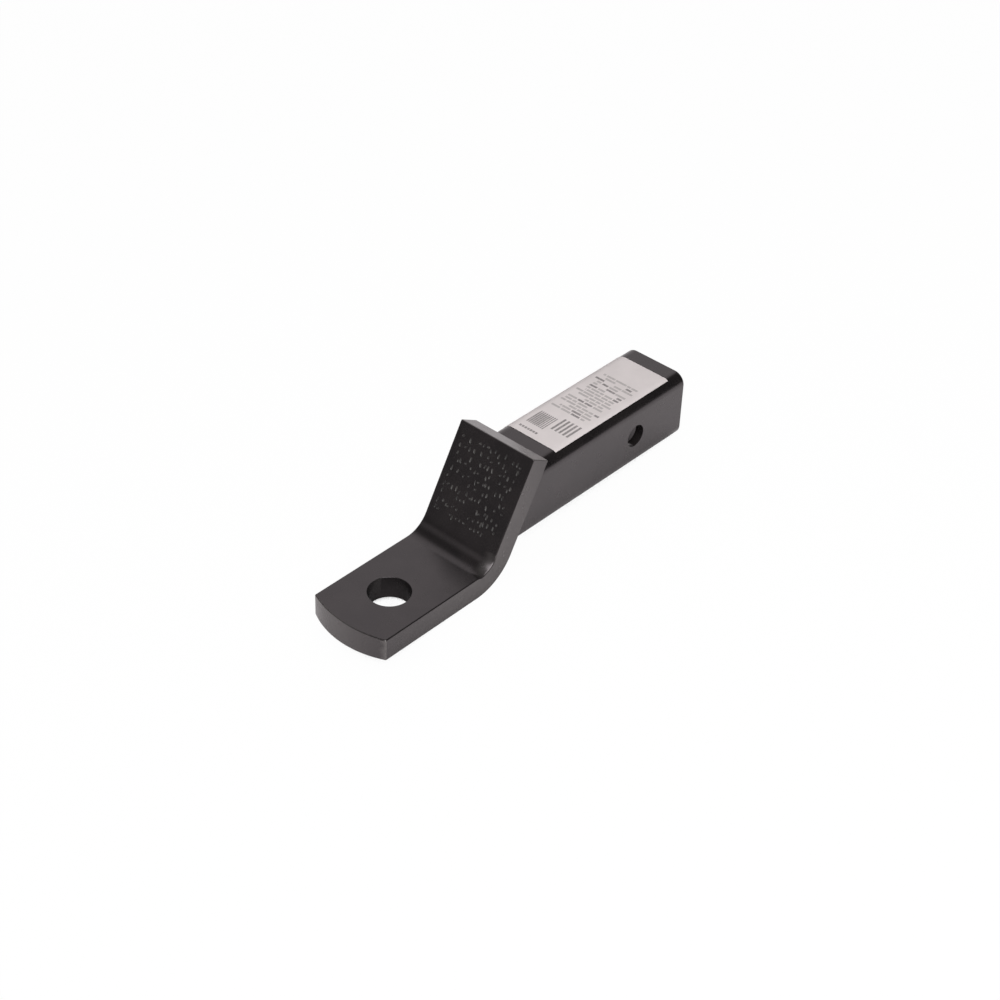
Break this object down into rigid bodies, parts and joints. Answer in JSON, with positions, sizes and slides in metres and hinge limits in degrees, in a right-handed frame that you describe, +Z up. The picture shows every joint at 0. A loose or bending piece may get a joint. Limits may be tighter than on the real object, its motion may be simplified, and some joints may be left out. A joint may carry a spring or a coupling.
{
  "type": "ball mount",
  "caption": "Drop ball mount: bent flat bar with a ball hole, fillet-welded to an open square tube shank with a cross hole for the hitch pin and a paper label on top.",
  "frame": {"origin": "centre of the ball hole on the platform's top face", "axes": "+X along the shank towards its open rear end, +Y to the left as seen from behind the nose, +Z up along the ball hole"},
  "size_m": [0.3032, 0.0632, 0.0849],
  "materials": {
    "black_paint": "satin black paint over steel",
    "label_paper": "matte white paper with grey print"
  },
  "bodies": {
    "root": {"shank_tube": "black_paint", "ball_platform": "black_paint", "weld_bead": "black_paint", "label": "label_paper"}
  },
  "joints": []
}
